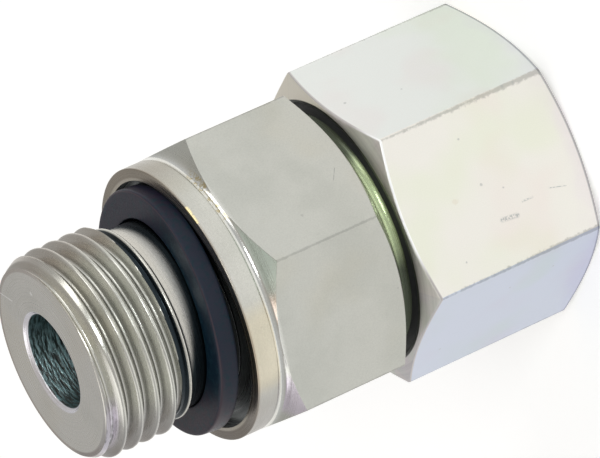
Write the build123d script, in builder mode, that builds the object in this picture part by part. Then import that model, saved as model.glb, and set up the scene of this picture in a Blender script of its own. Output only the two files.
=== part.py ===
from build123d import *
import math
import os

# Hydraulic swivel joint, straight, G1/2 male stud to G1/2 female port.
# The housing stands on its female end face and the stem turns in it on one row of balls.
# The origin is the centre of that end face, and +Z runs along the flow axis to the male end.

# Pipe thread G1/2, kept here as plain cylinders at its crests
thread_major_diameter = 20.955
thread_minor_diameter = 18.631

# Hexagons, both cut from bar of the same width across flats
hex_across_flats = 28.0
stem_turn = 37.1
stem_chamfer_angle = 30.0
housing_chamfer_angle = 21.0

# Lengths along the axis
housing_length = 20.2
hex_gap = 1.6
stem_hex_length = 13.8
collar_length = 2.95
thread_length = 9.0
spindle_end_gap = 0.2

# Stem
bore_diameter = 9.6
bore_edge_chamfer = 0.3
stud_end_chamfer = 1.1
undercut_diameter = 18.4
thread_runout_length = 0.8
collar_inset = 0.05
collar_rim_bevel = 0.1
collar_rim_width = 1.2
collar_recess_depth = 1.0
spindle_diameter = 20.5
spindle_end_chamfer = 0.3

# Housing
running_clearance = 0.05
shoulder_end_gap = 0.1
housing_face_inset = 0.36
port_entry_margin = 0.5

# Ball race
ball_diameter = 2.5
ball_gap = 0.05
race_clearance = 0.07
race_wall = 0.58
ball_port_clearance = 0.15
ball_port_angle = 90.0
plug_recess = 0.25
plug_ball_clearance = 0.15
plug_edge_chamfer = 0.2
plug_interference = 0.01

# Seals
stud_seal_side_gap = 0.37
stud_seal_thickness = 1.68
stud_seal_tilt = 6.3
stud_seal_tilt_towards = -161.4
stud_seal_headroom = 1.3
stud_seal_edge_radius = 0.3
gland_wall = 0.58
gland_play = 0.1
spindle_land = 1.1
o_ring_section = 1.5
o_ring_squeeze = 0.2
o_ring_roundness = 0.48
backup_ring_thickness = 0.6
wiper_rim_width = 0.25
wiper_width = 0.95
wiper_thickness = 1.4
wiper_heel_bevel = 0.4
wiper_lip_height = 0.1
wiper_rim_drop = 0.3
seat_clearance = 0.02

# Radii worked out from the sizes above
hex_radius = hex_across_flats / 2
corner_radius = hex_radius / math.cos(math.radians(30))
thread_radius = thread_major_diameter / 2
port_radius = thread_minor_diameter / 2
bore_radius = bore_diameter / 2
undercut_radius = undercut_diameter / 2
collar_radius = hex_radius - collar_inset
collar_recess_radius = collar_radius - collar_rim_bevel - collar_rim_width
spindle_radius = spindle_diameter / 2
housing_bore_radius = spindle_radius + running_clearance
housing_face_radius = hex_radius - housing_face_inset
wiper_radius = housing_face_radius - wiper_rim_width - seat_clearance
wiper_inner = wiper_radius - wiper_width
shoulder_radius = wiper_inner - running_clearance
ball_radius = ball_diameter / 2
race_radius = ball_radius + race_clearance
ball_circle_radius = spindle_radius + running_clearance / 2
ball_port_radius = ball_radius + ball_port_clearance

# The spindle o ring is squeezed flat in its gland, and bulges by as much along the axis
gland_radius = housing_bore_radius - o_ring_section + o_ring_squeeze
seal_inner = gland_radius + seat_clearance
seal_outer = housing_bore_radius - seat_clearance
o_ring_width = seal_outer - seal_inner
o_ring_corner_radius = o_ring_width * o_ring_roundness
o_ring_area = math.pi * o_ring_section**2 / 4
o_ring_height = (o_ring_area + (4 - math.pi) * o_ring_corner_radius**2) / o_ring_width

# Heights above the female end face, worked out downwards from the housing's top
housing_top = housing_length
wiper_bottom = housing_top - wiper_thickness
race_height = wiper_bottom - race_wall - race_radius
gland_top = race_height - race_radius - gland_wall
gland_bottom = gland_top - o_ring_height - backup_ring_thickness - gland_play
spindle_bottom = gland_bottom - spindle_land
port_floor = spindle_bottom - spindle_end_gap

# Heights of the stem's faces above the housing
shoulder_bottom = wiper_bottom + shoulder_end_gap
stem_hex_bottom = housing_top + hex_gap
stem_hex_top = stem_hex_bottom + stem_hex_length
collar_top = stem_hex_top + collar_length
collar_floor = collar_top - collar_recess_depth

# The stud seal hangs askew: its hole clears the undercut, and its low side stands in the collar
tilt_sine = math.sin(math.radians(stud_seal_tilt))
tilt_cosine = math.cos(math.radians(stud_seal_tilt))
stud_seal_half = stud_seal_thickness / 2
stud_seal_inner = (undercut_radius + stud_seal_half * tilt_sine) / tilt_cosine + seat_clearance
stud_seal_reach = collar_recess_radius - stud_seal_side_gap
stud_seal_outer = (stud_seal_reach - stud_seal_half * tilt_sine) / tilt_cosine
stud_seal_low_side = stud_seal_outer * tilt_sine + stud_seal_half * tilt_cosine
stud_seal_center = collar_floor + seat_clearance + stud_seal_low_side

# The undercut leaves room for the seal's high side, and the thread follows
stud_seal_high_side = stud_seal_inner * tilt_sine + stud_seal_half * tilt_cosine
undercut_top = stud_seal_center + stud_seal_high_side + stud_seal_headroom
thread_bottom = undercut_top + thread_runout_length
stud_top = thread_bottom + thread_length

os.makedirs("parts", exist_ok=True)

# Housing: a hexagon bar turned down to a chamfered cone at both ends
housing_chamfer = (corner_radius - housing_face_radius) * math.tan(math.radians(housing_chamfer_angle))
port_entry_radius = thread_radius + port_entry_margin
port_entry_depth = port_entry_radius - port_radius

# The hole for loading the balls is drilled square to the flat at ball_port_angle
port_direction = Vector(1, 0, 0).rotate(Axis.Z, ball_port_angle)
ball_port_plane = Plane(origin=Vector(0, 0, race_height), z_dir=port_direction)

with BuildPart() as housing:
    with BuildSketch():
        RegularPolygon(hex_radius, 6, major_radius=False)
    extrude(amount=housing_length)
    with BuildSketch(Plane.XZ):
        with BuildLine():
            Polyline(
                (0, 0),
                (housing_face_radius, 0),
                (corner_radius, housing_chamfer),
                (corner_radius, housing_top - housing_chamfer),
                (housing_face_radius, housing_top),
                (0, housing_top),
                close=True,
            )
        make_face()
    revolve(axis=Axis.Z, mode=Mode.INTERSECT)
    # Female port, spindle bore and wiper recess, bored from both ends
    with BuildSketch(Plane.XZ):
        with BuildLine():
            Polyline(
                (0, 0),
                (port_entry_radius, 0),
                (port_radius, port_entry_depth),
                (port_radius, port_floor),
                (housing_bore_radius, port_floor),
                (housing_bore_radius, wiper_bottom),
                (wiper_radius + seat_clearance, wiper_bottom),
                (wiper_radius + seat_clearance, housing_top),
                (0, housing_top),
                close=True,
            )
        make_face()
    revolve(axis=Axis.Z, mode=Mode.SUBTRACT)
    # Outer half of the ball race
    with BuildSketch(Plane.XZ):
        with Locations((ball_circle_radius, race_height)):
            Circle(race_radius)
    revolve(axis=Axis.Z, mode=Mode.SUBTRACT)
    with BuildSketch(ball_port_plane.offset(ball_circle_radius)):
        Circle(ball_port_radius)
    extrude(amount=hex_radius, mode=Mode.SUBTRACT)
housing.part.label = "housing"
export_step(housing.part, "parts/housing.step")

# Ball port plug: a short pin pressed in over the balls, just below the flat
plug_inner = ball_circle_radius + ball_radius + plug_ball_clearance
plug_length = hex_radius - plug_recess - plug_inner

with BuildPart() as ball_port_plug:
    with BuildSketch(ball_port_plane.offset(plug_inner)):
        Circle(ball_port_radius + plug_interference)
    extrude(amount=plug_length)
    chamfer(ball_port_plug.faces().sort_by(Axis.Y)[-1].edges(), plug_edge_chamfer)
ball_port_plug.part.label = "ball_port_plug"
export_step(ball_port_plug.part, "parts/ball_port_plug.step")

# Stem: one turned piece with the bored stud, the collar, the hexagon and the spindle
stem_chamfer = (corner_radius - collar_radius) * math.tan(math.radians(stem_chamfer_angle))

with BuildPart() as stem:
    with BuildSketch(Plane.XY.offset(stem_hex_bottom)):
        RegularPolygon(hex_radius, 6, major_radius=False, rotation=stem_turn)
    extrude(amount=stem_hex_length)
    with BuildSketch(Plane.XZ):
        with BuildLine():
            Polyline(
                (0, stem_hex_bottom),
                (collar_radius, stem_hex_bottom),
                (corner_radius, stem_hex_bottom + stem_chamfer),
                (corner_radius, stem_hex_top - stem_chamfer),
                (collar_radius, stem_hex_top),
                (0, stem_hex_top),
                close=True,
            )
        make_face()
    revolve(axis=Axis.Z, mode=Mode.INTERSECT)
    # Spindle with the gland groove for the o ring and its back up ring
    with BuildSketch(Plane.XZ):
        with BuildLine():
            Polyline(
                (0, spindle_bottom),
                (spindle_radius - spindle_end_chamfer, spindle_bottom),
                (spindle_radius, spindle_bottom + spindle_end_chamfer),
                (spindle_radius, gland_bottom),
                (gland_radius, gland_bottom),
                (gland_radius, gland_top),
                (spindle_radius, gland_top),
                (spindle_radius, shoulder_bottom),
                (shoulder_radius, shoulder_bottom),
                (shoulder_radius, stem_hex_bottom),
                (0, stem_hex_bottom),
                close=True,
            )
        make_face()
    revolve(axis=Axis.Z)
    # Collar with the recess for the stud seal, the undercut and the male stud
    with BuildSketch(Plane.XZ):
        with BuildLine():
            Polyline(
                (0, stem_hex_top),
                (collar_radius, stem_hex_top),
                (collar_radius, collar_top - collar_rim_bevel),
                (collar_radius - collar_rim_bevel, collar_top),
                (collar_recess_radius, collar_top),
                (collar_recess_radius, collar_floor),
                (undercut_radius, collar_floor),
                (undercut_radius, undercut_top),
                (thread_radius, thread_bottom),
                (thread_radius, stud_top - stud_end_chamfer),
                (thread_radius - stud_end_chamfer, stud_top),
                (0, stud_top),
                close=True,
            )
        make_face()
    revolve(axis=Axis.Z)
    # Flow bore, bevelled at both ends
    with BuildSketch(Plane.XZ):
        with BuildLine():
            Polyline(
                (0, spindle_bottom),
                (bore_radius + bore_edge_chamfer, spindle_bottom),
                (bore_radius, spindle_bottom + bore_edge_chamfer),
                (bore_radius, stud_top - bore_edge_chamfer),
                (bore_radius + bore_edge_chamfer, stud_top),
                (0, stud_top),
                close=True,
            )
        make_face()
    revolve(axis=Axis.Z, mode=Mode.SUBTRACT)
    # Inner half of the ball race
    with BuildSketch(Plane.XZ):
        with Locations((ball_circle_radius, race_height)):
            Circle(race_radius)
    revolve(axis=Axis.Z, mode=Mode.SUBTRACT)
stem.part.label = "stem"
export_step(stem.part, "parts/stem.step")

# Stud seal: the rubber ring round the undercut, with its high side towards stud_seal_tilt_towards
tilt_axis_direction = Vector(0, -1, 0).rotate(Axis.Z, stud_seal_tilt_towards)
stud_seal_normal = Vector(0, 0, 1).rotate(Axis((0, 0, 0), tilt_axis_direction), stud_seal_tilt)
stud_seal_plane = Plane(origin=Vector(0, 0, stud_seal_center), z_dir=stud_seal_normal)

with BuildPart() as stud_seal:
    with BuildSketch(stud_seal_plane.offset(-stud_seal_half)):
        Circle(stud_seal_outer)
        Circle(stud_seal_inner, mode=Mode.SUBTRACT)
    extrude(amount=stud_seal_thickness)
    outer_edges = stud_seal.edges().filter_by(GeomType.CIRCLE).sort_by(SortBy.RADIUS)[-2:]
    fillet(outer_edges, stud_seal_edge_radius)
stud_seal.part.label = "stud_seal"
export_step(stud_seal.part, "parts/stud_seal.step")

# Dust wiper: a rubber ring in the mouth of the housing, highest where its lip meets the shoulder
with BuildPart() as dust_wiper:
    with BuildSketch(Plane.XZ):
        with BuildLine():
            Polyline(
                (wiper_inner, wiper_bottom + wiper_heel_bevel),
                (wiper_inner + wiper_heel_bevel, wiper_bottom),
                (wiper_radius, wiper_bottom),
                (wiper_radius, housing_top - wiper_rim_drop),
                (wiper_inner, housing_top + wiper_lip_height),
                close=True,
            )
        make_face()
    revolve(axis=Axis.Z)
dust_wiper.part.label = "dust_wiper"
export_step(dust_wiper.part, "parts/dust_wiper.step")

# Spindle o ring: the rotary seal, lying against its back up ring
backup_ring_bottom = gland_top - seat_clearance - backup_ring_thickness
o_ring_center = backup_ring_bottom - seat_clearance - o_ring_height / 2

with BuildPart() as spindle_o_ring:
    with BuildSketch(Plane.XZ):
        with Locations(((seal_inner + seal_outer) / 2, o_ring_center)):
            RectangleRounded(o_ring_width, o_ring_height, o_ring_corner_radius)
    revolve(axis=Axis.Z)
spindle_o_ring.part.label = "spindle_o_ring"
export_step(spindle_o_ring.part, "parts/spindle_o_ring.step")

# Back up ring: a flat hard ring on the side of the o ring that has no oil pressure
with BuildPart() as backup_ring:
    with BuildSketch(Plane.XY.offset(backup_ring_bottom)):
        Circle(seal_outer)
        Circle(seal_inner, mode=Mode.SUBTRACT)
    extrude(amount=backup_ring_thickness)
backup_ring.part.label = "backup_ring"
export_step(backup_ring.part, "parts/backup_ring.step")

# Balls: a full row, each one a steel ball that rolls between the two halves of the race
ball_pitch_angle = 2 * math.asin((ball_diameter + ball_gap) / (2 * ball_circle_radius))
ball_count = int(2 * math.pi / ball_pitch_angle)

for ball_number in range(ball_count):
    with BuildPart() as ball:
        with Locations(Rotation(0, 0, 360 * ball_number / ball_count)):
            with Locations((ball_circle_radius, 0, race_height)):
                Sphere(ball_radius)
    ball_name = f"ball_{ball_number + 1:02d}"
    ball.part.label = ball_name
    export_step(ball.part, f"parts/{ball_name}.step")
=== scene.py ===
import math

import bmesh
import bpy
import numpy as np
from mathutils import Matrix, Vector


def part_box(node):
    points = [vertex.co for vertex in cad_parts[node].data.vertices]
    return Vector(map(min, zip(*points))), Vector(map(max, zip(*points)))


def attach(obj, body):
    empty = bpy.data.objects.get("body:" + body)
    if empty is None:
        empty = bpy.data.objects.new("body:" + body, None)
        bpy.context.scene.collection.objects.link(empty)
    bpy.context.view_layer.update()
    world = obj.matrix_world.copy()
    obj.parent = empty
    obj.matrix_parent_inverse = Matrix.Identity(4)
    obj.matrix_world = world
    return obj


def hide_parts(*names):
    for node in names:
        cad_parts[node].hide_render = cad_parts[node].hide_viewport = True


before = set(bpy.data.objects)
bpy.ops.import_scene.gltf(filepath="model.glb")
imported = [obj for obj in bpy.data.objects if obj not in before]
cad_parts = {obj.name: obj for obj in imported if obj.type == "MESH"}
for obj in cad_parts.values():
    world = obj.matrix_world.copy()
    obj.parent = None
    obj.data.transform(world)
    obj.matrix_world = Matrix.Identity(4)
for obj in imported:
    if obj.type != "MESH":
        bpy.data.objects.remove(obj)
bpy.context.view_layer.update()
scene = bpy.context.scene
scene.view_settings.view_transform = "Standard"


# Studio
# A white table, a white room and three soft lamps. The joint stands on its female end, and the
# camera is turned so that the male end points down to the left, as it lies in the picture.
CAMERA_PLACE = (0.067565, -0.522109, 0.251491)
CAMERA_AIM = (0.001852, 0.0, 0.024008)
CAMERA_ROLL = 114.3
CAMERA_LENS = 359.1


def place_camera():
    """Looks from the camera's place to its aim, then rolls by CAMERA_ROLL about that line."""
    data = bpy.data.cameras.new("camera")
    data.lens = CAMERA_LENS
    data.sensor_width = 36.0
    data.clip_start = 0.01
    data.clip_end = 20.0
    camera = bpy.data.objects.new("camera", data)
    scene.collection.objects.link(camera)
    sight = (Vector(CAMERA_AIM) - Vector(CAMERA_PLACE)).normalized()
    side = sight.cross(Vector((0, 0, 1))).normalized()
    up = side.cross(sight)
    roll = math.radians(CAMERA_ROLL)
    turned_up = math.cos(roll) * up + math.sin(roll) * side
    turned_side = sight.cross(turned_up)
    axes = Matrix((turned_side, turned_up, -sight)).transposed().to_4x4()
    axes.translation = Vector(CAMERA_PLACE)
    camera.matrix_world = axes
    scene.camera = camera


place_camera()


def add_node(tree, kind, settings=None, **values):
    """One shader node with its settings and the values or links of its inputs. An input is
    named by its own name, with _ for a space, or by _ and its number."""
    made = tree.nodes.new(kind)
    for name, value in (settings or {}).items():
        setattr(made, name, value)
    for name, value in values.items():
        key = int(name[1:]) if name[0] == "_" else name.replace("_", " ")
        if isinstance(value, bpy.types.NodeSocket):
            tree.links.new(value, made.inputs[key])
        else:
            made.inputs[key].default_value = value
    return made


def calc(tree, operation, *values):
    """The result of one math node."""
    slots = {f"_{index}": value for index, value in enumerate(values)}
    return add_node(tree, "ShaderNodeMath", {"operation": operation}, **slots).outputs[0]


ROOM_SIDES = (0.66, 0.67, 0.68, 1)
ROOM_OVERHEAD = (0.52, 0.50, 0.47, 1)
ROOM_LEVEL = 0.95


def light_room():
    """White for the eye. As light and in the metal it is grey, darker and warmer overhead."""
    world = bpy.data.worlds.new("white_room")
    world.use_nodes = True
    tree = world.node_tree
    tree.nodes.clear()
    direction = add_node(tree, "ShaderNodeTexCoord")
    parts = add_node(tree, "ShaderNodeSeparateXYZ", Vector=direction.outputs["Generated"])
    shade = add_node(tree, "ShaderNodeValToRGB", Fac=parts.outputs["Z"])
    stops = ((0.0, ROOM_SIDES), (0.9, ROOM_OVERHEAD))
    for element, (height, tone) in zip(shade.color_ramp.elements, stops):
        element.position = height
        element.color = tone
    path = add_node(tree, "ShaderNodeLightPath")
    room = add_node(tree, "ShaderNodeBackground", Color=shade.outputs["Color"], Strength=ROOM_LEVEL)
    seen = add_node(tree, "ShaderNodeBackground", Color=(1, 1, 1, 1), Strength=1.0)
    mix = add_node(tree, "ShaderNodeMixShader", _0=path.outputs["Is Camera Ray"],
                   _1=room.outputs[0], _2=seen.outputs[0])
    add_node(tree, "ShaderNodeOutputWorld", Surface=mix.outputs[0])
    scene.world = world


light_room()

LAMP_AIM = (0, 0, 0.03)


def soft_lamp(name, place, size, watts, colour=(1, 1, 1)):
    """A square area lamp of that size, turned to face the joint."""
    data = bpy.data.lights.new(name, "AREA")
    data.size = size
    data.energy = watts
    data.color = colour
    lamp = bpy.data.objects.new(name, data)
    scene.collection.objects.link(lamp)
    turned = (Vector(LAMP_AIM) - Vector(place)).to_track_quat("-Z", "Y").to_matrix().to_4x4()
    lamp.matrix_world = Matrix.Translation(Vector(place)) @ turned


soft_lamp("lamp_side", (0.75, -0.30, 0.50), 0.5, 1.6)
soft_lamp("lamp_front", (0.22, -0.80, 0.64), 0.26, 2.1, (0.94, 0.985, 1.0))
soft_lamp("lamp_over", (-0.45, 0.10, 0.80), 0.6, 1.2)

FLOOR_HALF = 3.0
FLOOR_HEIGHT = -2e-5
FLOOR_TONE = (0.82, 0.82, 0.82, 1)
FLOOR_GLOW = 0.385


def lay_floor():
    """A flat white sheet under the housing that keeps the joint's shadow. For the eye, and in
    metal, it glows a little as well."""
    half, height = FLOOR_HALF, FLOOR_HEIGHT
    corners = [(-half, -half, height), (half, -half, height),
               (half, half, height), (-half, half, height)]
    data = bpy.data.meshes.new("floor")
    data.from_pydata(corners, [], [(0, 1, 2, 3)])
    floor = bpy.data.objects.new("floor", data)
    scene.collection.objects.link(floor)
    material = bpy.data.materials.new("white_table")
    material.use_nodes = True
    tree = material.node_tree
    tree.nodes.clear()
    path = add_node(tree, "ShaderNodeLightPath").outputs
    eye = calc(tree, "MAXIMUM", path["Is Camera Ray"], path["Is Glossy Ray"])
    eye_or_glass = calc(tree, "MAXIMUM", eye, path["Is Transmission Ray"])
    glow = add_node(tree, "ShaderNodeEmission", Color=(1, 1, 1, 1),
                    Strength=calc(tree, "MULTIPLY", eye_or_glass, FLOOR_GLOW))
    paper = add_node(tree, "ShaderNodeBsdfDiffuse", Color=FLOOR_TONE)
    both = add_node(tree, "ShaderNodeAddShader", _0=glow.outputs[0], _1=paper.outputs[0])
    add_node(tree, "ShaderNodeOutputMaterial", Surface=both.outputs[0])
    data.materials.append(material)


lay_floor()


# Housing
# The far half: hexagon steel bar, 28 mm across flats, faced and chamfered at both ends, bored
# for the spindle from the inner end and tapped for a G1/2 pipe from the outer one, then zinc
# plated bright and passivated, which leaves a different faint tint on every flat.
HEX_FLATS = 28.0  # this and every other length of a piece is in millimetres
HEX_CORNER = HEX_FLATS / 2 / math.cos(math.pi / 6)
FLAT_STEPS = 13
HOUSING_TOP = 20.2
HOUSING_ROUNDING = 0.30
HOUSING_FACE_RADIUS = 13.64
HOUSING_CHAMFER_SLOPE = math.tan(math.radians(21))
WIPER_FLOOR = 18.8
WIPER_RECESS_RADIUS = 13.39
PORT_FLOOR = 11.348
PORT_ENTRY_RADIUS = 10.9775
PORT_CHAMFER = 0.45
PORT_PHASE = 0.4
PORT_RUN_OUT = 1.2
HOUSING_BORE = 10.3
PITCH = 1.814
THREAD_ROUNDING = 0.137329 * PITCH
THREAD_DEPTH = 0.640327 * PITCH
THREAD_FLANK = math.radians(62.5)
MAJOR_RADIUS = 10.4775
MINOR_RADIUS = 9.3155
BALL_CIRCLE = 10.275
BALL_HEIGHT = 16.9
RACE_RADIUS = 1.32
EASE_SHARE = 0.35
EASE_FLANK = 2.2
EASE_FLANK_SHARE = 0.48
MERGED_WITHIN = 4e-7  # metres
EMPTY_WITHIN = 1e-8  # metres
SHARP_FROM = math.radians(34)


def hexagon_angles(first_corner, corner_half_angle):
    """Angles once round, close together at the six rounded corners and even on the flats.

    The first and the last are the same direction, where the skin is closed."""
    near = np.array([0.0, 0.34, 0.67, 1.0, 1.35]) * corner_half_angle
    half = np.concatenate([near, np.linspace(near[-1], math.pi / 6, FLAT_STEPS + 1)[1:]])
    sector = np.concatenate([half, math.pi / 3 - half[-2::-1]])[:-1]
    turns = (np.arange(6) * math.pi / 3)[:, None] + sector[None, :]
    return np.append(turns.ravel(), 2 * math.pi) + first_corner


def hexagon_radius(angles, first_corner, rounding):
    """Distance from the axis to a hexagon whose corners are arcs of that rounding.

    On a flat it is half the width over the cosine of the angle to the flat's normal; at a
    corner it is the far crossing of the ray with the arc that touches both flats."""
    half = HEX_FLATS / 2
    off = np.mod(angles - first_corner + math.pi / 6, math.pi / 3) - math.pi / 6
    centre = (half - rounding) / math.cos(math.pi / 6)
    edge = np.arctan2(rounding / 2, centre + rounding * math.cos(math.pi / 6))
    flat = half / np.cos(math.pi / 6 - np.abs(off))
    arc = centre * np.cos(off) + np.sqrt(np.maximum(rounding**2 - (centre * np.sin(off))**2, 0))
    return np.where(np.abs(off) < edge, arc, flat)


def eased_profile(corners, ease, steps=4):
    """Rows of a profile with each inner corner eased by a small curve.

    The curve is the quadratic one that starts and ends at the ease distance from the
    corner and has the corner as its middle control point. One more row stands on each
    side of it, so that the faces beside it stay flat in the light. Where the way to the
    next corner is short, both keep to a share of it. A corner is a pair (radius, height),
    and each may be one number or one number for every angle."""
    width = max(np.size(value) for corner in corners for value in corner)
    points = np.array([[np.broadcast_to(value, width) for value in corner] for corner in corners],
                      float)
    rows = [points[0]]
    for before, here, after, reach in zip(points[:-2], points[1:-1], points[2:], ease):
        back = before - here
        back_length = np.sqrt((back**2).sum(0))
        ahead = after - here
        ahead_length = np.sqrt((ahead**2).sum(0))
        back = back / back_length
        ahead = ahead / ahead_length
        start = np.minimum(reach, EASE_SHARE * back_length)
        end = np.minimum(reach, EASE_SHARE * ahead_length)
        rows.append(here + back * np.minimum(EASE_FLANK * start, EASE_FLANK_SHARE * back_length))
        for t in np.linspace(0, 1, steps + 1):
            rows.append(here + (1 - t)**2 * start * back + t**2 * end * ahead)
        rows.append(here + ahead * np.minimum(EASE_FLANK * end, EASE_FLANK_SHARE * ahead_length))
    rows.append(points[-1])
    return np.array(rows)


def arc_profile(centre_radius, centre_height, size, start, end, steps):
    """Points on a circle round (centre_radius, centre_height), from one angle to another."""
    turn = np.radians(np.linspace(start, end, steps))
    return list(zip(centre_radius + size * np.cos(turn), centre_height + size * np.sin(turn)))


def level_rows(points, width):
    """Rows that keep one radius and one height all round."""
    return np.array([[np.full(width, radius), np.full(width, height)] for radius, height in points])


def thread_depth(phase):
    """How far a pipe thread's surface lies under its crest, for a distance along the axis.

    The 55 degree thread: a crest arc and a root arc of the same radius, joined by straight
    flanks that touch both. Phase is the distance from the nearest crest's middle."""
    rounding, depth = THREAD_ROUNDING, THREAD_DEPTH
    off = np.abs(np.mod(phase + PITCH / 2, PITCH) - PITCH / 2)
    touch = rounding * math.sin(THREAD_FLANK)
    drop = rounding * (1 - math.cos(THREAD_FLANK))
    crest = rounding - np.sqrt(np.maximum(rounding**2 - off**2, 0))
    root = depth - rounding + np.sqrt(np.maximum(rounding**2 - (PITCH / 2 - off)**2, 0))
    flank = drop + (off - touch) * (depth - 2 * drop) / (PITCH / 2 - 2 * touch)
    return np.where(off < touch, crest, np.where(off > PITCH / 2 - touch, root, flank))


def thread_rows(low, high, angles, row_count):
    """Heights of rows that climb one pitch a turn, cut off at the low and the high end, and
    the climb itself at every angle."""
    climb = PITCH * (angles - angles[0]) / (2 * math.pi)
    step = PITCH / row_count
    first = math.floor((low - PITCH) / step)
    last = math.ceil(high / step)
    return np.clip(step * np.arange(first, last + 1)[:, None] + climb[None, :], low, high), climb


def skin(name, grid, angles):
    """A closed skin round the axis, from a grid of radii and heights in millimetres.

    Point (k, j) stands at radius[k, j] from the axis, in the direction angles[j], at
    height[k, j]. Each row is joined to the next and the last to the first. Points that
    fall on each other, at the seam and where thread rows run out, are merged."""
    radius, height = grid[:, 0], grid[:, 1]
    count, width = radius.shape
    points = np.stack([radius * np.cos(angles), radius * np.sin(angles), height], axis=-1)
    k, j = np.meshgrid(np.arange(count), np.arange(width - 1), indexing="ij")
    below = np.mod(k + 1, count)
    corners = [k * width + j, k * width + j + 1, below * width + j + 1, below * width + j]
    mesh = bpy.data.meshes.new(name)
    mesh.from_pydata(points.reshape(-1, 3) / 1000, [], np.stack(corners, axis=-1).reshape(-1, 4))
    work = bmesh.new()
    work.from_mesh(mesh)
    bmesh.ops.remove_doubles(work, verts=work.verts, dist=MERGED_WITHIN)
    bmesh.ops.dissolve_degenerate(work, edges=work.edges, dist=EMPTY_WITHIN)
    bmesh.ops.recalc_face_normals(work, faces=work.faces)
    work.to_mesh(mesh)
    work.free()
    for polygon in mesh.polygons:
        polygon.use_smooth = True
    mesh.set_sharp_from_angle(angle=SHARP_FROM)
    piece = bpy.data.objects.new(name, mesh)
    scene.collection.objects.link(piece)
    return piece


def housing_skin():
    """The hexagon's outside down to the female end, then back up through the bores.

    The chamfer cone meets each flat where the hexagon's radius says, so the curved edge
    runs along one row. Inside are the port's thread, the spindle bore, the race and the
    recess of the wiper."""
    angles = hexagon_angles(0.0, math.radians(1.0))
    outside = hexagon_radius(angles, 0.0, HOUSING_ROUNDING)
    chamfer = (outside - HOUSING_FACE_RADIUS) * HOUSING_CHAMFER_SLOPE
    outer = eased_profile([
        (WIPER_RECESS_RADIUS, HOUSING_TOP),
        (HOUSING_FACE_RADIUS, HOUSING_TOP),
        (outside, HOUSING_TOP - chamfer),
        (outside, chamfer),
        (HOUSING_FACE_RADIUS, 0.0),
        (PORT_ENTRY_RADIUS, 0.0),
        (PORT_ENTRY_RADIUS - PORT_CHAMFER, PORT_CHAMFER),
    ], [0.10, 0.12, 0.12, 0.10, 0.10])
    heights, climb = thread_rows(PORT_CHAMFER, PORT_FLOOR, angles, 20)
    tapped = np.maximum(MAJOR_RADIUS - thread_depth(heights - climb + PORT_PHASE), MINOR_RADIUS)
    fade = np.clip((PORT_FLOOR - heights) / PORT_RUN_OUT, 0, 1)
    tapped = MINOR_RADIUS + (tapped - MINOR_RADIUS) * fade
    thread = np.stack([np.maximum(tapped, PORT_ENTRY_RADIUS - heights), heights], axis=1)
    half_gap = math.degrees(math.acos((HOUSING_BORE - BALL_CIRCLE) / RACE_RADIUS))
    inner = [(MINOR_RADIUS, PORT_FLOOR), (HOUSING_BORE, PORT_FLOOR),
             *arc_profile(BALL_CIRCLE, BALL_HEIGHT, RACE_RADIUS, -half_gap, half_gap, 13),
             (HOUSING_BORE, WIPER_FLOOR), (WIPER_RECESS_RADIUS, WIPER_FLOOR)]
    grid = np.concatenate([outer, thread, level_rows(inner, len(angles))])
    return skin("housing_body", grid, angles)


def scaled(tree, vector, factor):
    """A place or a colour times a number."""
    return add_node(tree, "ShaderNodeVectorMath", {"operation": "SCALE"},
                    _0=vector, Scale=factor).outputs[0]


def new_finish(name):
    """An empty material, its node tree, and Object coordinates in millimetres."""
    material = bpy.data.materials.new(name)
    material.use_nodes = True
    tree = material.node_tree
    tree.nodes.clear()
    place = add_node(tree, "ShaderNodeTexCoord")
    return material, tree, scaled(tree, place.outputs["Object"], 1000.0)


def times(tree, first, *others):
    """The product of numbers or masks."""
    for other in others:
        first = calc(tree, "MULTIPLY", first, other)
    return first


def opposite(tree, mask):
    """1 where the mask is 0, and 0 where it is 1."""
    return calc(tree, "SUBTRACT", 1.0, mask)


def rise(tree, value, start, end):
    """0 before start and 1 past end, with a smooth step between; start may be the larger."""
    return add_node(tree, "ShaderNodeMapRange", {"interpolation_type": "SMOOTHSTEP"},
                    _0=value, _1=start, _2=end, _3=0.0, _4=1.0).outputs[0]


def spread(tree, value, low, high, start, end):
    """The range from low to high, carried over to the one from start to end."""
    return add_node(tree, "ShaderNodeMapRange",
                    _0=value, _1=low, _2=high, _3=start, _4=end).outputs[0]


def opaque(tone):
    """A colour of three numbers as the four that a socket takes; a link as it is."""
    return (*tone, 1) if isinstance(tone, tuple) else tone


def lay_over(tree, mask, under, over, how="MIX"):
    """One colour laid over another where the mask is 1."""
    return add_node(tree, "ShaderNodeMix", {"data_type": "RGBA", "blend_type": how},
                    _0=mask, _6=opaque(under), _7=opaque(over)).outputs[2]


def tint(tree, mask, under, tone):
    """One colour multiplied by another where the mask is 1."""
    return lay_over(tree, mask, under, tone, "MULTIPLY")


def tones_along(tree, value, low, high, stops, how="LINEAR"):
    """A colour that follows a value; each stop is a value and its colour."""
    node = add_node(tree, "ShaderNodeValToRGB", Fac=spread(tree, value, low, high, 0.0, 1.0))
    node.color_ramp.interpolation = how
    elements = node.color_ramp.elements
    for index, (at, tone) in enumerate(stops):
        position = (at - low) / (high - low)
        element = elements[index] if index < 2 else elements.new(position)
        element.position = position
        element.color = (*tone, 1)
    return node.outputs["Color"]


def noise_at(tree, place, scale, detail, roughness):
    """A noise from about 0.25 to 0.75 at that place."""
    return add_node(tree, "ShaderNodeTexNoise", Vector=place, Scale=scale, Detail=detail,
                    Roughness=roughness).outputs["Fac"]


def cloud(tree, where, scale, detail=3.0, roughness=0.55, shift=(0, 0, 0)):
    """A noise read at a place shifted by so many millimetres."""
    moved = add_node(tree, "ShaderNodeVectorMath", {"operation": "ADD"}, _0=where, _1=shift)
    return noise_at(tree, moved.outputs[0], scale, detail, roughness)


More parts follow.
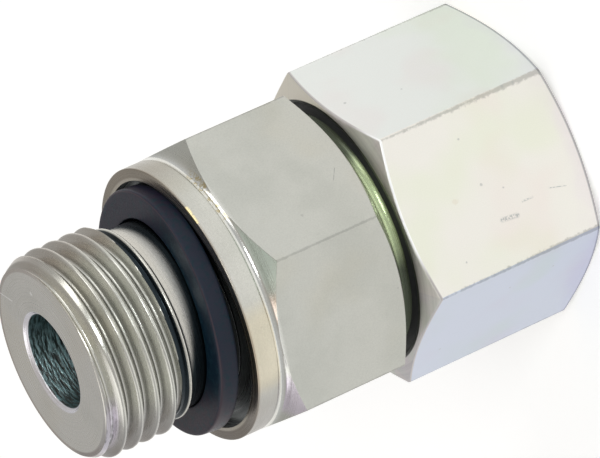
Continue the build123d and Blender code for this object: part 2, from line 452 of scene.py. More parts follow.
def round_the_axis(tree, where):
    """Distance from the axis, direction round it and height."""
    parts = add_node(tree, "ShaderNodeSeparateXYZ", Vector=where).outputs
    squares = [times(tree, parts[axis], parts[axis]) for axis in "XY"]
    reach = calc(tree, "SQRT", calc(tree, "ADD", *squares))
    return reach, calc(tree, "ARCTAN2", parts["Y"], parts["X"]), parts["Z"]


def turning_marks(tree, reach, height, scale):
    """A noise that follows only radius and height, as the rings left by a turning tool do."""
    along = add_node(tree, "ShaderNodeCombineXYZ", X=reach, Y=height)
    return noise_at(tree, along.outputs[0], scale, 4.0, 0.7)


def corner_distance(tree, turn, first_corner):
    """Millimetres from the nearest corner line of a hexagon, measured round the axis."""
    off = calc(tree, "WRAP", calc(tree, "SUBTRACT", turn, first_corner), math.pi / 6, -math.pi / 6)
    return times(tree, calc(tree, "ABSOLUTE", off), HEX_CORNER)


def spots(tree, where, ragged, marks):
    """1 inside small marks; each is a place in millimetres and its size. The noise is added
    to the distance from the place, so that the mark's edge wanders."""
    total = 0.0
    for place, size in marks:
        away = add_node(tree, "ShaderNodeVectorMath", {"operation": "DISTANCE"}, _0=where, _1=place)
        fuzzy = calc(tree, "MULTIPLY_ADD", ragged, 1.6 * size, away.outputs["Value"])
        total = calc(tree, "MAXIMUM", rise(tree, fuzzy, 1.75 * size, 1.25 * size), total)
    return total


def strokes(tree, where, ragged, lines):
    """1 inside thin ragged strokes; each stroke is its two ends in millimetres and its half
    width. The distance is taken to the nearest point of the line between the ends."""
    total = 0.0
    for start, end, half_width in lines:
        along = tuple(b - a for a, b in zip(start, end))
        length = sum(part * part for part in along)
        offset = add_node(tree, "ShaderNodeVectorMath", {"operation": "SUBTRACT"},
                          _0=where, _1=start)
        share = add_node(tree, "ShaderNodeVectorMath", {"operation": "DOT_PRODUCT"},
                         _0=offset.outputs[0], _1=along)
        part = add_node(tree, "ShaderNodeMath", {"operation": "DIVIDE", "use_clamp": True},
                        _0=share.outputs["Value"], _1=length)
        away = add_node(tree, "ShaderNodeVectorMath", {"operation": "DISTANCE"},
                        _0=offset.outputs[0], _1=scaled(tree, along, part.outputs[0]))
        fuzzy = calc(tree, "MULTIPLY_ADD", ragged, 1.8 * half_width, away.outputs["Value"])
        total = calc(tree, "MAXIMUM", rise(tree, fuzzy, 2.1 * half_width, 1.3 * half_width), total)
    return total


def toward(tree, turn, direction, wide, core):
    """1 within core degrees of a direction round the axis, 0 beyond wide degrees of it."""
    away = calc(tree, "COSINE", calc(tree, "SUBTRACT", turn, math.radians(direction)))
    return rise(tree, away, math.cos(math.radians(wide)), math.cos(math.radians(core)))


def finish_surface(tree, material, colour, roughness, bumps, **more):
    """Joins colour, roughness and a list of bumps (noise, height in mm) to a shader, with
    whatever else its sockets are set to."""
    for noise, bump_height in bumps:
        bump = add_node(tree, "ShaderNodeBump",
                        Height=noise, Strength=1.0, Distance=bump_height / 1000)
        if "Normal" in more:
            tree.links.new(more["Normal"], bump.inputs["Normal"])
        more["Normal"] = bump.outputs[0]
    body = add_node(tree, "ShaderNodeBsdfPrincipled",
                    Base_Color=colour, Roughness=roughness, **more)
    add_node(tree, "ShaderNodeOutputMaterial", Surface=body.outputs[0])
    return material


SIXTH_TURN = math.pi / 3
HOUSING_TINTS = [
    (-math.pi, (0.60, 0.64, 0.74)), (-2 * SIXTH_TURN, (0.83, 0.81, 0.755)),
    (-SIXTH_TURN, (0.77, 0.79, 0.765)), (0.0, (0.80, 0.80, 0.74)),
    (SIXTH_TURN, (0.74, 0.76, 0.78)), (2 * SIXTH_TURN, (0.82, 0.80, 0.76))]
HOUSING_SPECKS = [
    ((-0.76, -14.0, 8.99), 0.15), ((0.38, -14.0, 11.06), 0.20), ((5.2, -14.0, 11.55), 0.16),
    ((-5.81, -14.0, 15.4), 0.14), ((-10.11, -10.49, 5.38), 0.15), ((-10.3, -10.16, 10.32), 0.15),
    ((8.14, -13.9, 5.24), 0.22), ((8.09, -13.99, 4.07), 0.22), ((7.87, -14.05, 0.9), 0.34),
    ((11.16, -8.67, 12.67), 0.16), ((11.98, -7.26, 18.07), 0.20), ((-13.77, -4.15, 16.77), 0.16)]
HOUSING_RUBS = [
    ((-3.54, -14.0, 10.3), (-3.73, -14.0, 8.66), 0.30),
    ((-2.73, -14.0, 7.64), (-2.75, -14.0, 6.5), 0.12),
    ((-2.62, -14.0, 4.53), (-3.08, -14.0, 2.76), 0.06)]
HOUSING_STAIN = [((-0.08, -14.0, 14.23), 0.42)]


def housing_finish():
    """Bright passivated zinc: a tint for each flat, drifting by slow noises towards green and
    rose, and to lavender at the female end. The corners are ragged and greyer, the rear edge
    is dark, and the front edge has a painted highlight on one side and is darker elsewhere.
    The turned cones have ring marks on pink and green, and a painted cream reflection on one
    side. Bores are dull and darker, the mouth near black as painted shade, and the flats have
    a few specks, rubs and a stain."""
    material, tree, where = new_finish("housing_plate")
    reach, turn, height = round_the_axis(tree, where)
    # The flats and their slow drift
    tone = tones_along(tree, turn, -math.pi, math.pi, HOUSING_TINTS, "CONSTANT")
    green = rise(tree, cloud(tree, where, 0.10, 2.0), 0.46, 0.66)
    tone = tint(tree, green, tone, (0.965, 1.0, 0.93))
    rose = rise(tree, cloud(tree, where, 0.13, 2.0, 0.5, (31.0, 7.0, 19.0)), 0.50, 0.70)
    tone = tint(tree, rose, tone, (1.0, 0.965, 0.97))
    drifting = calc(tree, "MULTIPLY_ADD", cloud(tree, where, 0.22, 3.0), 5.0, height)
    tone = tint(tree, rise(tree, drifting, 5.2, 3.0), tone, (0.975, 0.95, 1.0))
    # Corners and the rear edge, by the distance from them
    ragged = cloud(tree, where, 2.2, 5.0, 0.7)
    slope = times(tree, calc(tree, "SUBTRACT", reach, HOUSING_FACE_RADIUS), HOUSING_CHAMFER_SLOPE)
    from_front = calc(tree, "SUBTRACT", calc(tree, "SUBTRACT", HOUSING_TOP, slope), height)
    from_rear = calc(tree, "SUBTRACT", height, slope)
    corner = calc(tree, "MULTIPLY_ADD", ragged, 0.80, corner_distance(tree, turn, 0.0))
    corner = calc(tree, "MULTIPLY_ADD", height, 0.012, corner)
    tone = tint(tree, rise(tree, corner, 0.84, 0.56), tone, (0.66, 0.66, 0.66))
    tone = tint(tree, rise(tree, from_rear, 0.30, 0.16), tone, (0.52, 0.53, 0.56))
    # The turned cones, with a painted cream reflection on one side, and the front edge beside one
    # of them, with a painted highlight on its lit side
    rings = turning_marks(tree, reach, height, 3.2)
    cone = calc(tree, "MAXIMUM", rise(tree, from_front, 0.06, -0.02),
                rise(tree, from_rear, 0.06, -0.02))
    patches = rise(tree, cloud(tree, where, 0.24, 2.0), 0.42, 0.60)
    cone_tone = lay_over(tree, patches, (0.80, 0.745, 0.74), (0.76, 0.77, 0.70))
    cone_tone = tint(tree, rise(tree, rings, 0.40, 0.62), cone_tone, (0.86, 0.86, 0.87))
    # Painted reflection: one side of the cones is made cream and lighter.
    cone_tone = lay_over(tree, toward(tree, turn, -6.0, 32.0, 16.0), cone_tone, (1.0, 0.94, 0.80))
    tone = lay_over(tree, cone, tone, cone_tone)
    # Painted highlight: the front edge turns white on the side that faces the lamps and is darker
    # elsewhere.
    on_edge = times(tree, rise(tree, from_front, 0.27, 0.14), opposite(tree, cone))
    highlight_side = toward(tree, turn, -80.0, 34.0, 20.0)
    edge_highlight_tone = lay_over(tree, highlight_side, (0.52, 0.49, 0.48), (1.0, 1.0, 1.0))
    tone = lay_over(tree, on_edge, tone, edge_highlight_tone)
    # Bores, made darker, and the mouth, near black as painted shade
    bores = rise(tree, reach, 13.56, 13.42)
    tone = lay_over(tree, bores, tone, (0.50, 0.50, 0.47))
    # Painted shade: the mouth's inner edge is made near black, like the dark gap round the wiper.
    mouth = times(tree, rise(tree, reach, 13.72, 13.62), rise(tree, height, 18.0, 18.4))
    tone = lay_over(tree, mouth, tone, (0.13, 0.135, 0.13))
    # Wear
    specks = spots(tree, where, ragged, HOUSING_SPECKS)
    tone = lay_over(tree, times(tree, specks, 0.55), tone, (0.42, 0.43, 0.42))
    speckled = cloud(tree, where, 5.0, 4.0, 0.7)
    rubs = times(tree, strokes(tree, where, speckled, HOUSING_RUBS),
                 rise(tree, speckled, 0.40, 0.60))
    tone = lay_over(tree, rubs, tone, (0.44, 0.45, 0.44))
    stain = spots(tree, where, ragged, HOUSING_STAIN)
    tone = lay_over(tree, times(tree, stain, 0.5), tone, (0.74, 0.69, 0.58))
    # Fine grain
    fine = cloud(tree, where, 9.0, 4.0, 0.6)
    tone = scaled(tree, tone, spread(tree, fine, 0.25, 0.75, 0.965, 1.03))
    ring_height = times(tree, rings, calc(tree, "MAXIMUM", cone, bores))
    rough = spread(tree, fine, 0.3, 0.7, 0.31, 0.42)
    bumps = [(fine, 0.004), (ring_height, 0.010)]
    return finish_surface(tree, material, tone, rough, bumps, Metallic=1.0)


housing_body = housing_skin()
housing_body.data.materials.append(housing_finish())
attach(housing_body, "housing")
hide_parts("housing")


# Balls and ball port plug
# A full row of hardened and polished 2.5 mm steel balls is dropped in through a hole drilled in
# one flat, which is then closed by a short ground pin, pressed in just below the flat.
def ground_steel(name, tone, roughness, scratch):
    """Plain ground or polished steel with faint scratches in every direction."""
    material, tree, where = new_finish(name)
    haze = cloud(tree, where, 2.5, 5.0, 0.65)
    colour = lay_over(tree, haze, tuple(0.86 * c for c in tone), tone)
    rough = spread(tree, haze, 0.3, 0.7, roughness, roughness + 0.08)
    return finish_surface(tree, material, colour, rough, [(haze, scratch)], Metallic=1.0)


def dress(node_name, material):
    """Gives a CAD node its finish, in every slot it has."""
    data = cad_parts[node_name].data
    if not data.materials:
        data.materials.append(material)
    for index in range(len(data.materials)):
        data.materials[index] = material


ball_steel = ground_steel("ball_steel", (0.66, 0.66, 0.67), 0.10, 0.0005)
for node_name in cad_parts:
    if node_name.startswith("ball_") and node_name != "ball_port_plug":
        dress(node_name, ball_steel)
dress("ball_port_plug", ground_steel("plug_steel", (0.52, 0.51, 0.50), 0.30, 0.002))


# Seals inside the housing
# A moulded rubber o ring lies in the spindle's gland against a hard white back up ring, and
# a rubber wiper fills the housing's mouth, highest where its lip meets the stem's shoulder.
WIPER_INNER = 12.43
WIPER_OUTER = 13.36
WIPER_BOTTOM = 18.81
WIPER_FOOT = 19.2
WIPER_MIDDLE = 19.8
WIPER_EDGE = HOUSING_TOP - 0.3
WIPER_LIP = HOUSING_TOP + 0.09
RING_WIDTH = 97
O_RING_CIRCLE = 9.65
O_RING_HALF = 0.62
RUBBER_GRAIN = 0.008


def rubber(name, tone, roughness, dust):
    """Moulded black rubber: dark, a little mottled, with a dull skin and faint flow marks."""
    material, tree, where = new_finish(name)
    mottled = cloud(tree, where, 0.55, 5.0, 0.6)
    colour = lay_over(tree, mottled, tone, tuple(c + dust for c in tone))
    grain = cloud(tree, where, 7.0, 3.0)
    rough = spread(tree, grain, 0.3, 0.7, roughness - 0.06, roughness + 0.08)
    return finish_surface(tree, material, colour, rough, [(grain, RUBBER_GRAIN)])


def plain_ring(name, corners, ease, width=RING_WIDTH):
    """A ring with one closed profile carried round the axis."""
    grid = eased_profile([(np.full(width, r), z) for r, z in corners], ease)[:-1]
    return skin(name, grid, np.linspace(0, 2 * math.pi, width))


wiper_rubber = rubber("wiper_rubber", (0.012, 0.013, 0.014), 0.50, 0.008)
wiper = plain_ring("wiper_ring", [
    (WIPER_INNER, WIPER_MIDDLE), (WIPER_INNER, WIPER_FOOT), (WIPER_INNER + 0.39, WIPER_BOTTOM),
    (WIPER_OUTER, WIPER_BOTTOM), (WIPER_OUTER, WIPER_EDGE), (WIPER_INNER, WIPER_LIP),
    (WIPER_INNER, WIPER_MIDDLE)], [0.08, 0.08, 0.08, 0.08, 0.04])
wiper.data.materials.append(wiper_rubber)
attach(wiper, "housing")
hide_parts("dust_wiper")

o_low, o_high = (corner.z * 1000 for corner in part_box("spindle_o_ring"))
o_ring_rows = level_rows([
    (O_RING_CIRCLE + O_RING_HALF * r, (o_low + o_high) / 2 + z * (o_high - o_low) / 2)
    for r, z in arc_profile(0.0, 0.0, 1.0, 0, 360, 25)[:-1]], RING_WIDTH)
o_ring = skin("o_ring", o_ring_rows, np.linspace(0, 2 * math.pi, RING_WIDTH))
o_ring.data.materials.append(wiper_rubber)
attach(o_ring, "stem")
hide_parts("spindle_o_ring")


def hard_plastic(name, tone):
    """White machined plastic with a faint turned grain."""
    material, tree, where = new_finish(name)
    grain = cloud(tree, where, 6.0, 4.0)
    colour = lay_over(tree, grain, tuple(0.92 * c for c in tone), tone)
    return finish_surface(tree, material, colour, 0.45, [(grain, 0.004)])


dress("backup_ring", hard_plastic("white_ptfe", (0.80, 0.80, 0.77)))


# Stem
# One turned piece of the same bar: spindle, hollowed neck, hexagon, collar with a recess for the
# seal, undercut and the G1/2 stud, bored through. The drawn flats of its hexagon are duller and
# greyer than the housing's, and the turned parts keep their tool marks under the zinc.
STEM_TURN = math.radians(37.1)
STEM_ROUNDING = 0.22
SPINDLE_BOTTOM = 11.548
SPINDLE_RADIUS = 10.25
SPINDLE_CHAMFER = 0.3
GLAND_RADIUS = 9.0
GLAND_BOTTOM = 12.648
GLAND_TOP = 15.0
SHOULDER_BOTTOM = 18.9
SHOULDER_RADIUS = 12.37
SHOULDER_CHAMFER = 0.1
NECK_HOLLOW = 1.1
NECK_MIDDLE = 20.95
STEM_HEX_BOTTOM = 21.8
STEM_FACE_RADIUS = 13.55
STEM_CHAMFER_SLOPE = math.tan(math.radians(30))
COLLAR_TOP = 38.55
COLLAR_RADIUS = 13.95
COLLAR_LOW_END = 36.34
COLLAR_RECESS_RADIUS = 12.65
COLLAR_FLOOR = 37.55
FILLET_RADIUS = 0.8
FILLET_REACH = 13.82
FILLET_HEIGHT = 36.13
UNDERCUT_RADIUS = 9.2
UNDERCUT_TOP = 42.95
RIDGE_RADIUS = 9.75
RIDGE_BOTTOM = 43.2
RIDGE_TOP = 43.42
RELIEF_RADIUS = 9.35
RELIEF_BOTTOM = 43.75
THREAD_END = 44.15
THREAD_START_SLOPE = 2.6
THREAD_PHASE = 0.75
STUD_TOP = 52.713
STUD_EASE = 0.05
FACE_RADIUS = 9.62
STUD_CHAMFER_SLOPE = math.tan(math.radians(29))
BORE_RADIUS = 4.8
BORE_CHAMFER = 0.35


def tool_path():
    """Radii and heights where the turning tool cut the hexagon beside the collar: down a
    cone of 30 degrees, then round a hollow that ends upright, a little inside the collar."""
    hollow = arc_profile(FILLET_REACH + FILLET_RADIUS, FILLET_HEIGHT, FILLET_RADIUS, 240, 180, 11)
    low_reach, low_height = hollow[0]
    cone = [(reach, low_height - (reach - low_reach) * STEM_CHAMFER_SLOPE)
            for reach in (16.4, 15.2, 14.4)]
    return np.array(cone + hollow)


def stem_skin():
    """From the spindle's end up its outside to the male face, then down the bore.

    Each row of the tool's path lies where the path is, or on the flat at the height where
    the path crosses it, whichever is nearer to the axis."""
    angles = hexagon_angles(STEM_TURN, math.radians(0.9))
    outside = hexagon_radius(angles, STEM_TURN, STEM_ROUNDING)
    wide = len(angles)
    race_half = math.degrees(math.acos((BALL_CIRCLE - SPINDLE_RADIUS) / RACE_RADIUS))
    neck = arc_profile(SHOULDER_RADIUS + NECK_HOLLOW / 2, NECK_MIDDLE, NECK_HOLLOW, 240, 130, 15)
    lower = level_rows([
        (BORE_RADIUS, SPINDLE_BOTTOM + SPINDLE_CHAMFER),
        (BORE_RADIUS + SPINDLE_CHAMFER, SPINDLE_BOTTOM),
        (SPINDLE_RADIUS - SPINDLE_CHAMFER, SPINDLE_BOTTOM),
        (SPINDLE_RADIUS, SPINDLE_BOTTOM + SPINDLE_CHAMFER),
        (SPINDLE_RADIUS, GLAND_BOTTOM), (GLAND_RADIUS, GLAND_BOTTOM),
        (GLAND_RADIUS, GLAND_TOP), (SPINDLE_RADIUS, GLAND_TOP),
        *arc_profile(BALL_CIRCLE, BALL_HEIGHT, RACE_RADIUS, 180 + race_half, 180 - race_half, 13),
        (SPINDLE_RADIUS, SHOULDER_BOTTOM),
        (SHOULDER_RADIUS - SHOULDER_CHAMFER, SHOULDER_BOTTOM),
        (SHOULDER_RADIUS, SHOULDER_BOTTOM + SHOULDER_CHAMFER),
        *neck], wide)
    path = tool_path()
    reach = np.minimum(path[:, :1], outside[None, :])
    crossing = np.interp(outside, path[::-1, 0], path[::-1, 1])
    shoulder = np.stack([reach, np.where(path[:, :1] > outside, crossing, path[:, 1:])], axis=1)
    hexagon = eased_profile([
        (neck[-1][0], STEM_HEX_BOTTOM),
        (STEM_FACE_RADIUS, STEM_HEX_BOTTOM),
        (outside, STEM_HEX_BOTTOM + (outside - STEM_FACE_RADIUS) * STEM_CHAMFER_SLOPE),
        (outside, crossing - 0.02),
    ], [0.10, 0.08])
    collar = eased_profile([
        (FILLET_REACH, FILLET_HEIGHT + 0.05),
        (COLLAR_RADIUS, COLLAR_LOW_END),
        (COLLAR_RADIUS, COLLAR_TOP),
        (COLLAR_RECESS_RADIUS, COLLAR_TOP),
        (COLLAR_RECESS_RADIUS, COLLAR_FLOOR),
        (UNDERCUT_RADIUS, COLLAR_FLOOR),
        (UNDERCUT_RADIUS, UNDERCUT_TOP),
        (RIDGE_RADIUS, RIDGE_BOTTOM),
        (RIDGE_RADIUS, RIDGE_TOP),
        (RELIEF_RADIUS, RELIEF_BOTTOM),
        (RELIEF_RADIUS, THREAD_END),
    ], [0.06, 0.13, 0.08, 0.06, 0.12, 0.10, 0.10, 0.10, 0.10])
    heights, climb = thread_rows(THREAD_END, STUD_TOP - STUD_EASE, angles, 24)
    cut = MAJOR_RADIUS - thread_depth(heights - climb + THREAD_PHASE)
    start = RELIEF_RADIUS + (heights - THREAD_END) * THREAD_START_SLOPE
    end = FACE_RADIUS + (STUD_TOP - heights) * STUD_CHAMFER_SLOPE
    thread = np.stack([np.minimum(np.minimum(cut, start), end), heights], axis=1)
    face = eased_profile([
        (FACE_RADIUS - 0.04, STUD_TOP),
        (BORE_RADIUS + BORE_CHAMFER, STUD_TOP),
        (BORE_RADIUS, STUD_TOP - BORE_CHAMFER),
        (BORE_RADIUS, SPINDLE_BOTTOM + SPINDLE_CHAMFER),
    ], [STUD_EASE, STUD_EASE])[:-1]
    collar, face = (np.broadcast_to(rows, (len(rows), 2, wide)) for rows in (collar, face))
    grid = np.concatenate([lower, hexagon, shoulder, collar, thread, face])
    return skin("stem_body", grid, angles)


def band(tree, height, low, high, soft=0.08):
    """1 between two heights and 0 outside them."""
    return times(tree, rise(tree, height, low - soft, low), rise(tree, height, high + soft, high))


# The stops below 21.8 darken the neck between the hexagons, partly as oil and partly as painted
# shade. The stop at 35.8 lightens the hollow as a painted highlight.
STEM_TONES = [
    (18.2, (0.09, 0.105, 0.075)), (21.75, (0.09, 0.105, 0.075)), (21.85, (0.56, 0.56, 0.515)),
    (35.3, (0.55, 0.555, 0.515)), (35.8, (0.78, 0.78, 0.75)), (36.35, (0.60, 0.60, 0.55)),
    (38.3, (0.58, 0.575, 0.53)), (38.5, (0.47, 0.43, 0.37)), (41.6, (0.50, 0.50, 0.48)),
    (42.6, (0.62, 0.60, 0.55)), (44.5, (0.64, 0.64, 0.59)), (52.4, (0.60, 0.595, 0.55)),
    (52.7, (0.62, 0.60, 0.56))]
# Sectors of the cone beside the collar: painted teal and cream highlights, a painted dark
# reflection, and a lavender cast.
CONE_REFLECTIONS_PAINTED = [
    (-78.0, 18.0, 8.0, (1.25, 1.40, 1.38)), (-101.0, 9.0, 3.0, (1.30, 1.10, 1.02)),
    (-116.0, 10.0, 4.0, (0.36, 0.36, 0.38)), (-140.0, 14.0, 5.0, (1.12, 1.02, 1.22))]
STEM_SPECKS = [
    ((13.23, -7.54, 34.97), 0.18), ((4.7, -14.0, 29.4), 0.22), ((-5.45, -12.9, 22.48), 0.14)]
DARK_SCRATCH = [((7.28, -12.04, 23.68), (6.37, -12.73, 24.54), 0.05)]
FACE_SCRATCHES = [
    ((7.6, 6.4, 52.71), (6.42, 3.67, 52.71), 0.07),
    ((6.98, -1.62, 52.71), (6.84, -1.75, 52.71), 0.16)]
COLLAR_GLINT = [((9.26, -10.31, 38.48), (7.79, -11.47, 38.48), 0.22)]


def stem_finish():
    """Duller zinc: a tone for each zone along the axis, drifting by slow noises, with greyer
    corners and a fine grain on the flats, and the turning tool's rings on everything round.
    The cone beside the collar has painted reflections in sectors, the hollow shines, lightened
    as a painted highlight and with painted gold glints, and the neck has a painted green
    highlight. The collar has a painted cream reflection on one side, and collar and thread are
    darker as painted shade on the sides turned away. The stud's chamfer is scraped. Neck and
    thread roots are dark partly with oil and partly with painted shade; the recess, the relief
    and the undercut, more so away from one side, are dark with painted shade. The bore has
    teal streaks, a painted lit side and a painted dark side."""
    material, tree, where = new_finish("stem_plate")
    reach, turn, height = round_the_axis(tree, where)
    # Zones along the axis and their slow drift
    tone = tones_along(tree, height, 18.0, 53.0, STEM_TONES)
    drift = cloud(tree, where, 0.16, 3.0)
    tone = tint(tree, rise(tree, drift, 0.40, 0.64), tone, (0.93, 0.935, 0.93))
    warm = rise(tree, cloud(tree, where, 0.11, 2.0, 0.5, (13.0, 5.0, 40.0)), 0.48, 0.68)
    tone = tint(tree, warm, tone, (1.0, 0.985, 0.955))
    ragged = cloud(tree, where, 2.4, 5.0, 0.7)
    # Flats and corners; what isn't a flat is turned
    flats = times(tree, rise(tree, reach, 13.96, 13.99), rise(tree, height, 36.2, 36.0))
    off = calc(tree, "WRAP", calc(tree, "SUBTRACT", turn, STEM_TURN), math.pi / 3, 0.0)
    across = times(tree, reach, calc(tree, "COSINE", calc(tree, "SUBTRACT", off, math.pi / 6)))
    flats = times(tree, flats, rise(tree, across, 13.93, 13.985))
    turned = opposite(tree, flats)
    corner = calc(tree, "MULTIPLY_ADD", ragged, 0.34, corner_distance(tree, turn, STEM_TURN))
    tone = tint(tree, times(tree, rise(tree, corner, 0.34, 0.20), flats), tone, (0.76, 0.76, 0.76))
    # The cone beside the collar with painted reflections, the neck with a painted highlight, and
    # the hollow with painted gold glints
    cone = times(tree, band(tree, height, 33.5, 35.7), turned, rise(tree, reach, 14.0, 14.1))
    for direction, wide, core, colour in CONE_REFLECTIONS_PAINTED:
        sector = times(tree, cone, toward(tree, turn, direction, wide, core))
        tone = tint(tree, sector, tone, colour)
    neck = band(tree, height, 19.0, 21.79, 0.01)
    # Painted highlight: the neck is made bright green on the side that faces the lamps.
    green = times(tree, neck, toward(tree, turn, -80.0, 32.0, 2.0))
    tone = lay_over(tree, green, tone, (0.60, 0.71, 0.42))
    # Painted gold glints on the hollow, on one side.
    gold_glints_painted = times(tree, band(tree, height, 35.45, 36.1), toward(tree, turn, -46.0, 17.0, 10.0),
                 rise(tree, ragged, 0.44, 0.60), turned)
    tone = lay_over(tree, gold_glints_painted, tone, (0.50, 0.43, 0.26))
    # Collar and thread by side: a painted cream reflection on the collar, and painted shade on the
    # sides turned away
    collar = times(tree, band(tree, height, 36.1, 38.6), rise(tree, reach, 12.9, 13.1))
    threaded = times(tree, rise(tree, height, 44.1, 44.3), rise(tree, reach, 9.1, 9.3))
    # Painted reflection: the collar is made cream on one side.
    cream_reflection_painted = times(tree, collar, toward(tree, turn, -114.0, 22.0, 12.0))
    tone = tint(tree, cream_reflection_painted, tone, (1.10, 1.03, 0.90))
    # Painted shade: collar and thread are darker on the sides turned away, and more so towards -165
    # degrees.
    shade_behind_painted = opposite(tree, toward(tree, turn, -92.0, 78.0, 46.0))
    tone = tint(tree, times(tree, collar, shade_behind_painted), tone, (0.64, 0.61, 0.58))
    tone = tint(tree, times(tree, threaded, shade_behind_painted), tone, (0.76, 0.71, 0.69))
    low_side_shade_painted = times(tree, calc(tree, "MAXIMUM", collar, threaded),
                     toward(tree, turn, -165.0, 42.0, 18.0))
    tone = tint(tree, low_side_shade_painted, tone, (0.74, 0.73, 0.76))
    # The scraped chamfer of the stud
    front = times(tree, rise(tree, height, 51.2, 51.7), rise(tree, height, 52.66, 52.60), threaded,
                  toward(tree, turn, -143.0, 30.0, 12.0))
    scraped = times(tree, turning_marks(tree, reach, height, 1.9), 0.7)
    smeared = cloud(tree, where, 0.7, 4.0, 0.6, (3.0, 11.0, 5.0))
    scraped = rise(tree, calc(tree, "MULTIPLY_ADD", smeared, 0.3, scraped), 0.45, 0.54)
    scrape_tone = lay_over(tree, scraped, (0.27, 0.26, 0.28), (0.82, 0.77, 0.86))
    tone = lay_over(tree, times(tree, front, 0.75), tone, scrape_tone)
    # Oil and painted shade in the thread's roots; painted shade in the relief, the undercut and the
    # recess
    climb = times(tree, calc(tree, "SUBTRACT", turn, STEM_TURN), PITCH / (2 * math.pi))
    phase = calc(tree, "ADD", calc(tree, "SUBTRACT", height, climb), THREAD_PHASE)
    phase = calc(tree, "WRAP", phase, PITCH / 2, -PITCH / 2)
    # The roots behind each crest are darker, partly as oil and partly as painted shade.
    root_oil_and_shade = times(tree, rise(tree, phase, -0.50, -0.66), rise(tree, height, 52.0, 51.4), threaded)
    tone = tint(tree, root_oil_and_shade, tone, (0.36, 0.36, 0.36))
    off_bore = rise(tree, reach, 8.8, 9.0)
    # Painted shade: the relief groove is made near black.
    relief = times(tree, band(tree, height, 43.52, 44.3), rise(tree, reach, 10.0, 9.6), off_bore)
    tone = lay_over(tree, relief, tone, (0.022, 0.030, 0.036))
    undercut = times(tree, band(tree, height, 38.6, 43.3), band(tree, reach, 9.1, 9.5))
    # Painted shade: the undercut is dark teal, up to a height that rises away from -50 degrees.
    sway = calc(tree, "COSINE", calc(tree, "SUBTRACT", turn, math.radians(-50)))
    shade_line = calc(tree, "ADD", calc(tree, "MULTIPLY_ADD", sway, 2.4, -2.4), height)
    undercut_shade = times(tree, undercut, rise(tree, shade_line, 41.5, 40.8))
    tone = tint(tree, undercut_shade, tone, (0.10, 0.14, 0.17))
    # Painted shade: the recess behind the seal is made dark.
    recess = times(tree, band(tree, height, 37.3, 38.42), rise(tree, reach, 12.8, 12.7), off_bore)
    tone = lay_over(tree, recess, tone, (0.13, 0.14, 0.14))
    # Bore with teal streaks, a painted lit side and a painted dark side, and the rim of its mouth
    bore = rise(tree, reach, 4.98, 4.86)
    along = add_node(tree, "ShaderNodeCombineXYZ", X=times(tree, turn, 0.85), Y=height)
    streaks = noise_at(tree, along.outputs[0], 3.9, 4.0, 0.65)
    # Painted light and shade in the bore: brighter teal on one side, darker on another.
    bore_dark_side = lay_over(tree, toward(tree, turn, 40.0, 60.0, 30.0),
                    (0.17, 0.175, 0.165), (0.07, 0.10, 0.095))
    lit = lay_over(tree, toward(tree, turn, 104.0, 56.0, 14.0),
                   (0.25, 0.37, 0.39), (0.68, 0.97, 1.0))
    tone = lay_over(tree, bore, tone, lay_over(tree, rise(tree, streaks, 0.42, 0.60), bore_dark_side, lit))
    rim = times(tree, rise(tree, reach, 5.25, 5.1), rise(tree, height, 52.3, 52.4))
    tone = lay_over(tree, rim, tone, (0.80, 0.78, 0.82))
    # Wear, and a painted gold glint on the collar's rim
    specks = spots(tree, where, ragged, STEM_SPECKS)
    tone = lay_over(tree, times(tree, specks, 0.5), tone, (0.36, 0.36, 0.34))
    dark = strokes(tree, where, ragged, DARK_SCRATCH)
    tone = lay_over(tree, times(tree, dark, 0.6), tone, (0.26, 0.26, 0.25))
    bright = strokes(tree, where, ragged, FACE_SCRATCHES)
    tone = lay_over(tree, times(tree, bright, 0.8), tone, (0.92, 0.90, 0.88))
    # A painted gold glint on the collar's rim.
    tone = lay_over(tree, strokes(tree, where, ragged, COLLAR_GLINT), tone, (1.0, 0.86, 0.50))
    # Fine grain on the flats, rings on what is turned, and how smooth each zone is
    fine = cloud(tree, where, 7.0, 4.0, 0.6)
    tone = scaled(tree, tone, spread(tree, fine, 0.25, 0.75, 0.90, 1.08))
    rings = turning_marks(tree, reach, height, 3.4)
    hollow = times(tree, band(tree, height, 35.3, 36.2), rise(tree, reach, 14.7, 14.4))
    polished = calc(tree, "MAXIMUM", hollow, times(tree, neck, 0.1))
    polished = times(tree, polished, opposite(tree, bore))
    rough = add_node(tree, "ShaderNodeMix", _0=turned, _2=spread(tree, fine, 0.3, 0.7, 0.38, 0.50),
                     _3=spread(tree, rings, 0.3, 0.7, 0.20, 0.36))
    rough = times(tree, rough.outputs[0], calc(tree, "MULTIPLY_ADD", polished, -0.5, 1.0))
    rough = calc(tree, "MULTIPLY_ADD", bore, 0.16, rough)
    face = times(tree, rise(tree, height, 52.64, 52.70), 0.7)
    smooth = calc(tree, "MAXIMUM", times(tree, polished, 0.7), face)
    smooth = calc(tree, "MAXIMUM", times(tree, undercut, 0.8), smooth)
    ring_height = times(tree, rings, calc(tree, "SUBTRACT", turned, smooth))
    bumps = [(fine, 0.006), (ring_height, 0.012), (times(tree, streaks, bore), 0.10)]
    return finish_surface(tree, material, tone, rough, bumps, Metallic=1.0)


stem_body = stem_skin()
stem_body.data.materials.append(stem_finish())
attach(stem_body, "stem")
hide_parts("stem")


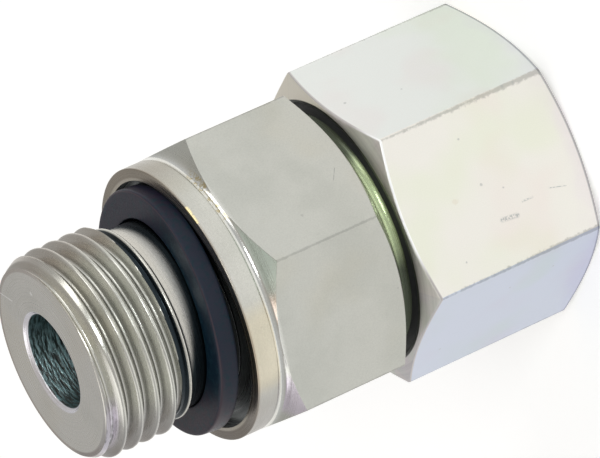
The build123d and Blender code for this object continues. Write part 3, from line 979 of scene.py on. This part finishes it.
# Stud seal
# A moulded ring of hard black rubber, pushed over the thread into the undercut. It has not yet
# been pressed against a port's face, so it hangs askew, one side down in the collar's recess.
SEAL_INNER = 9.3686
SEAL_OUTER = 12.2619
SEAL_HALF = 0.99
SEAL_CENTRE = 39.84
SEAL_TILT = math.radians(4.8)
SEAL_TOWARDS = math.radians(-171.0)
SEAL_WIDTH = 145


def seal_skin():
    """A squat ring with eased edges, turned by the tilt about the level line through its
    centre that lies square to its high side."""
    ring = plain_ring("seal_ring", [
        (SEAL_INNER, 0.0), (SEAL_INNER, -SEAL_HALF), (SEAL_OUTER, -SEAL_HALF),
        (SEAL_OUTER, SEAL_HALF), (SEAL_INNER, SEAL_HALF), (SEAL_INNER, 0.0),
    ], [0.12, 0.30, 0.30, 0.20], SEAL_WIDTH)
    level = Vector((math.sin(SEAL_TOWARDS), -math.cos(SEAL_TOWARDS), 0))
    lift = Matrix.Translation((0, 0, SEAL_CENTRE / 1000))
    ring.data.transform(lift @ Matrix.Rotation(SEAL_TILT, 4, level))
    return ring


def seal_finish():
    """Moulded rubber with a slight gloss: navy on the outside, blacker and bluer towards the
    hole, with a purple cast on two sides, faint mottling and a dull red line where the mould
    halves met."""
    material, tree, where = new_finish("seal_skin")
    reach, turn, height = round_the_axis(tree, where)
    tone = lay_over(tree, rise(tree, reach, 12.0, 11.5), (0.019, 0.023, 0.039), (0.0, 0.008, 0.019))
    tone = lay_over(tree, toward(tree, turn, 5.0, 60.0, 25.0), tone, (0.022, 0.018, 0.034))
    tone = lay_over(tree, toward(tree, turn, 170.0, 60.0, 30.0), tone, (0.030, 0.021, 0.034))
    mottled = rise(tree, cloud(tree, where, 1.6, 5.0, 0.7), 0.45, 0.70)
    tone = lay_over(tree, mottled, tone, (0.006, 0.026, 0.038))
    parting = times(tree, rise(tree, reach, 12.02, 12.10), rise(tree, reach, 12.22, 12.16),
                    rise(tree, height, 39.2, 39.6), 0.7)
    tone = lay_over(tree, parting, tone, (0.060, 0.040, 0.050))
    grain = cloud(tree, where, 7.0, 3.0)
    rough = spread(tree, grain, 0.3, 0.7, 0.34, 0.50)
    return finish_surface(tree, material, tone, rough, [(grain, RUBBER_GRAIN)],
                          Specular_IOR_Level=0.18)


seal = seal_skin()
seal.data.materials.append(seal_finish())
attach(seal, "stem")
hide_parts("stud_seal")
